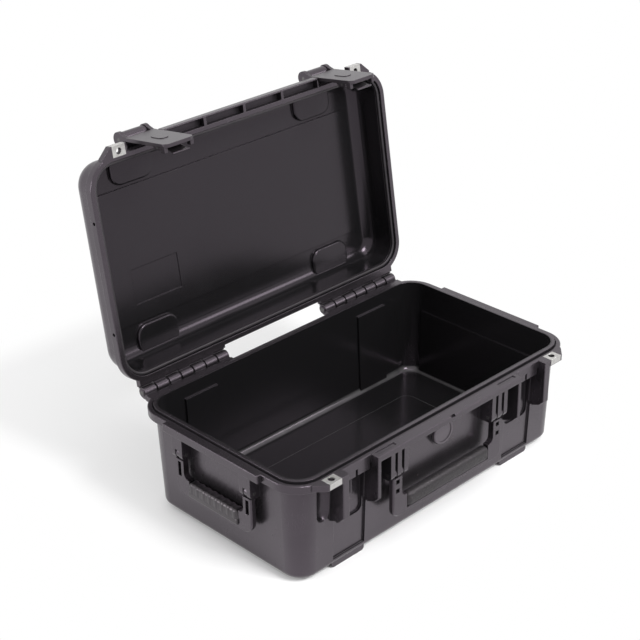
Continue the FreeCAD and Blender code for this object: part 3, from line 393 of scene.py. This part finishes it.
def addBar(bm, low, high, radius, segments):
    made = bmesh.ops.create_cube(bm, size=1.0)["verts"]
    bmesh.ops.scale(bm, vec=high - low, verts=made)
    bmesh.ops.translate(bm, vec=(low + high) / 2, verts=made)
    edges = list({edge for vert in made for edge in vert.link_edges})
    before = set(bm.verts) - set(made)
    bmesh.ops.bevel(bm, geom=edges, offset=radius, offset_type="OFFSET", affect="EDGES", segments=segments,
                    profile=0.5, material=-1)
    return [vert for vert in bm.verts if vert not in before]


# Rubber grip of the front handle: a round-edged bar between the yoke's webs
frontGrip = {"round": 0.0070, "segments": 8}
gripLow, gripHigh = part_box("front_handle_grip")
bm = bmesh.new()
addBar(bm, gripLow, gripHigh, frontGrip["round"], frontGrip["segments"])
newPiece("frontGripRubber", bm, gripRubber, "front_handle", ["front_handle_grip"])

# Ribbed rubber grips of the end handles: a smooth band below, low ribs over the top and both sides
sideGrip = {"ribs": 8, "ribShare": 0.84, "ribHeight": 0.0005, "band": 0.0085, "round": 0.0050,
            "bandRound": 0.002, "ribRound": 0.0044, "segments": 6}


def ribbedGrip(side):
    low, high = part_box("side_handle_grip_" + side)
    inset = Vector((sideGrip["ribHeight"], 0.0, 0.0))
    bm = bmesh.new()
    bandHigh = Vector((high.x, high.y, low.z + sideGrip["band"]))
    addBar(bm, low, bandHigh, sideGrip["bandRound"], sideGrip["segments"])
    coreHigh = high - inset - Vector((0.0, 0.0, sideGrip["ribHeight"]))
    addBar(bm, low + inset, coreHigh, sideGrip["round"], sideGrip["segments"])
    pitch = (high.y - low.y) / sideGrip["ribs"]
    half = pitch * sideGrip["ribShare"] / 2
    for index in range(sideGrip["ribs"]):
        middle = low.y + pitch * (index + 0.5)
        ribLow = Vector((low.x, middle - half, low.z + sideGrip["band"] / 2))
        ribHigh = Vector((high.x, middle + half, high.z))
        addBar(bm, ribLow, ribHigh, sideGrip["ribRound"], sideGrip["segments"])
    newPiece("endGripRubber" + side.title(), bm, endGripRubber, "side_handle_" + side,
             ["side_handle_grip_" + side])


for side in ("left", "right"):
    ribbedGrip(side)

# Seal bead around the lid's mouth, drawn shut and swung open with the lid
sealBead = {"corner": 0.0352, "cornerSegments": 10, "width": 0.0043, "round": 0.0015, "roundSegments": 4,
            "sharpAbove": 1.2}
sealSpots = [lidBack @ vert.co for vert in nodes["lid_gasket"].data.vertices]
sealLow = Vector([min(spot[axis] for spot in sealSpots) for axis in range(3)])
sealHigh = Vector([max(spot[axis] for spot in sealSpots) for axis in range(3)])
bm = bmesh.new()
bmesh.ops.create_grid(bm, x_segments=1, y_segments=1, size=0.5)
bmesh.ops.scale(bm, vec=(sealHigh.x - sealLow.x, sealHigh.y - sealLow.y, 1.0), verts=bm.verts[:])
bmesh.ops.bevel(bm, geom=bm.verts[:], offset=sealBead["corner"], offset_type="OFFSET", affect="VERTICES",
                segments=sealBead["cornerSegments"], profile=0.5, material=-1)
ring = bmesh.ops.inset_region(bm, faces=bm.faces[:], thickness=sealBead["width"], use_boundary=True,
                              use_even_offset=True)["faces"]
bmesh.ops.delete(bm, geom=[face for face in bm.faces if face not in ring], context="FACES")
risen = bmesh.ops.extrude_face_region(bm, geom=bm.faces[:], use_keep_orig=True)["geom"]
topVerts = [item for item in risen if isinstance(item, bmesh.types.BMVert)]
bmesh.ops.translate(bm, vec=(0, 0, sealHigh.z - sealLow.z), verts=topVerts)
sharp = sealBead["sharpAbove"]
loops = [edge for edge in bm.edges if len(edge.link_faces) == 2 and edge.calc_face_angle() > sharp]
bmesh.ops.bevel(bm, geom=loops, offset=sealBead["round"], offset_type="OFFSET", affect="EDGES",
                segments=sealBead["roundSegments"], profile=0.5, material=-1)
middle = (sealLow + sealHigh) / 2
bmesh.ops.translate(bm, vec=(middle.x, middle.y, sealLow.z), verts=bm.verts[:])
bmesh.ops.transform(bm, matrix=lidTurn, verts=bm.verts[:])
newPiece("lidSealBead", bm, sealRubber, "lid", ["lid_gasket"])
print("rubber pieces made")

# Lips under the lid's hinge ledge that close the view over each knuckle of the tub, in a near-black matt
# finish painted as the shade of the hinge gaps
hingeLip = {"knuckles": 7, "every": 2, "length": 0.0208, "away": 0.0084, "thick": 0.0012, "width": 0.0050,
            "turn": 48.0, "round": 0.0003, "segments": 2}
lean = math.radians(hingeLip["turn"])
lipOut = Vector((0.0, math.cos(lean), math.sin(lean))) * hingeLip["away"]
lipHalf = Vector((hingeLip["length"], hingeLip["width"], hingeLip["thick"])) / 2
bm = bmesh.new()
for side in ("left", "right"):
    pinLow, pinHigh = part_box("hinge_pin_" + side)
    pitch = (pinHigh.x - pinLow.x) / hingeLip["knuckles"]
    for index in range(0, hingeLip["knuckles"], hingeLip["every"]):
        spot = Vector((pinLow.x + pitch * (index + 0.5), hingeSpot.y, hingeSpot.z))
        bar = addBar(bm, -lipHalf, lipHalf, hingeLip["round"], hingeLip["segments"])
        place = Matrix.Translation(spot + lipOut) @ Matrix.Rotation(lean - math.pi / 2, 4, "X")
        bmesh.ops.transform(bm, matrix=place, verts=bar)
newPiece("hingeShadeLips", bm, hingeShadePlastic, "lid")
print("hinge lips made")

# Stage: a pale floor that keeps the shadow near the case and turns plain white further off
stageLook = {"size": 9.0, "colour": rgb(0.93, 0.93, 0.93), "lift": 0.35, "place": (0.02, -0.17, 0.0),
             "halfX": 0.25, "halfY": 0.37, "corner": 0.05, "fade": 0.10, "footX": 0.245, "footY": 0.130,
             "footCorner": 0.03, "footFade": 0.035}
floorFinish = Finish("paleFloor")
floorSpot = floorFinish.spot()
x, y = floorFinish.split(floorFinish.mapped(floorSpot, place=stageLook["place"]))[:2]
away = floorFinish.outside(x, y, stageLook["halfX"], stageLook["halfY"], stageLook["corner"])
x, y = floorFinish.split(floorFinish.mapped(floorSpot, place=tuple(-tubMiddle)))[:2]
beside = floorFinish.outside(x, y, stageLook["footX"], stageLook["footY"], stageLook["footCorner"])
lift = stageLook["lift"] * floorFinish.band(beside, 0.0, stageLook["footFade"])
fade = lift + (1.0 - lift) * floorFinish.band(away, 0.0, stageLook["fade"])
matt = floorFinish.node("ShaderNodeBsdfDiffuse", {}, {"Color": stageLook["colour"]})
bright = floorFinish.node("ShaderNodeEmission", {}, {"Color": white, "Strength": 1.0})
mixed = floorFinish.node("ShaderNodeMixShader", {}, {0: floorFinish.seenRays() * fade, 1: matt, 2: bright})
floorFinish.node("ShaderNodeOutputMaterial", {}, {"Surface": mixed})
bm = bmesh.new()
bmesh.ops.create_grid(bm, x_segments=1, y_segments=1, size=stageLook["size"])
floorMesh = bpy.data.meshes.new("floor")
bm.to_mesh(floorMesh)
bm.free()
floor = bpy.data.objects.new("floor", floorMesh)
bpy.context.scene.collection.objects.link(floor)
floorMesh.materials.append(floorFinish.holder)

# Even studio surroundings, with a plain white behind the case
worldLook = {"light": 0.62}
world = bpy.data.worlds.new("studio")
bpy.context.scene.world = world
around = Finish("studio", world)
strength = worldLook["light"] + (1.0 - worldLook["light"]) * around.seenRays()
sky = around.node("ShaderNodeBackground", {}, {"Color": white, "Strength": strength})
around.node("ShaderNodeOutputWorld", {}, {"Surface": sky})

lamps = {"keySoftbox": {"place": (0.35, -2.3, 2.5), "size": 1.2, "power": 90.0},
         "topSoftbox": {"place": (0.2, -0.3, 2.6), "size": 1.6, "power": 12.0},
         "rightSoftbox": {"place": (1.7, -1.7, 1.5), "size": 0.75, "power": 9.0},
         "leftSoftbox": {"place": (-2.2, 0.9, 0.8), "size": 1.1, "power": 30.0}}
lampAim = Vector((0.0, -0.05, 0.15))
for lampName, lamp in lamps.items():
    light = bpy.data.lights.new(lampName, "AREA")
    light.size = lamp["size"]
    light.energy = lamp["power"]
    lampObject = bpy.data.objects.new(lampName, light)
    lampObject.location = lamp["place"]
    lampObject.rotation_euler = (lampAim - Vector(lamp["place"])).to_track_quat("-Z", "Y").to_euler()
    bpy.context.scene.collection.objects.link(lampObject)

# Camera as the photograph stands: long lens, left of the front, a little above
cameraLook = {"place": (-1.3698, -1.3232, 1.2282), "azimuth": -44.332, "elevation": 27.447, "roll": -0.88,
              "lens": 88.34, "sensor": 36.0}
turn = math.radians(cameraLook["azimuth"])
rise = math.radians(cameraLook["elevation"])
roll = math.radians(cameraLook["roll"])
backward = Vector((math.sin(turn) * math.cos(rise), -math.cos(turn) * math.cos(rise), math.sin(rise)))
level = Vector((math.cos(turn), math.sin(turn), 0.0))
upward = backward.cross(level)
right = level * math.cos(roll) + upward * math.sin(roll)
upward = backward.cross(right)
cameraData = bpy.data.cameras.new("photoCamera")
cameraData.lens = cameraLook["lens"]
cameraData.sensor_width = cameraLook["sensor"]
camera = bpy.data.objects.new("photoCamera", cameraData)
cameraSpot = tubMiddle + Vector(cameraLook["place"])
camera.matrix_world = Matrix.Translation(cameraSpot) @ Matrix((right, upward, backward)).transposed().to_4x4()
bpy.context.scene.collection.objects.link(camera)
bpy.context.scene.camera = camera
bpy.context.scene.view_settings.view_transform = "Standard"
print("stage, light and camera set")
